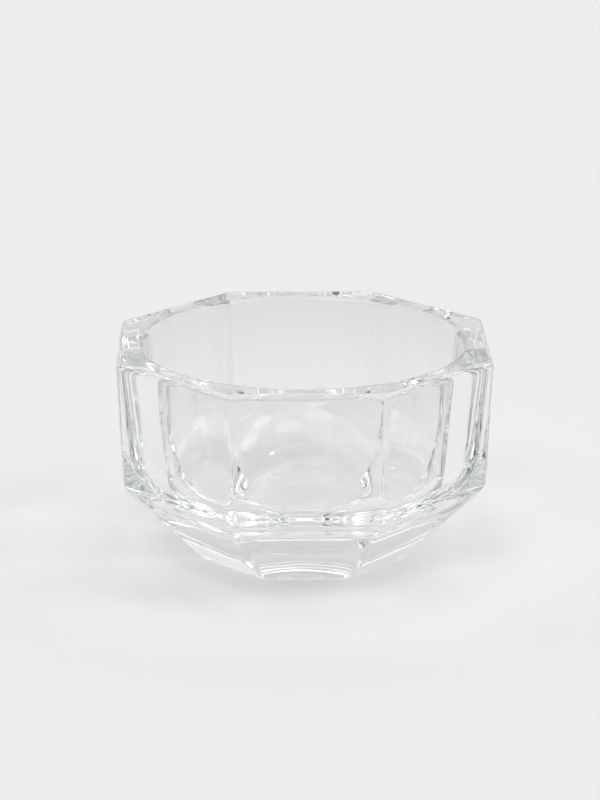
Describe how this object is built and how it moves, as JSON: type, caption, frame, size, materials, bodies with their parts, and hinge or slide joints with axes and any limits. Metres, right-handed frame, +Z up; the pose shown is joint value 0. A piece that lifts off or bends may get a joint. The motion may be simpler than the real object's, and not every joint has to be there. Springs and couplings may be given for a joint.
{
  "type": "dappen dish",
  "caption": "Small octagonal dish in clear pressed glass with a round well, upright upper faces and lower faces tapering to a flat foot.",
  "frame": {"origin": "centre of the foot's flat underside, which is the surface that the dish stands on", "axes": "+Z up along the dish's own axis, out of the well; -Y square out of one of the eight upright faces"},
  "size_m": [0.0598, 0.0598, 0.0354],
  "materials": {
    "crystal_glass": "clear, colourless, fire-polished pressed glass"
  },
  "bodies": {
    "root": {"dish_body": "crystal_glass"}
  },
  "joints": []
}
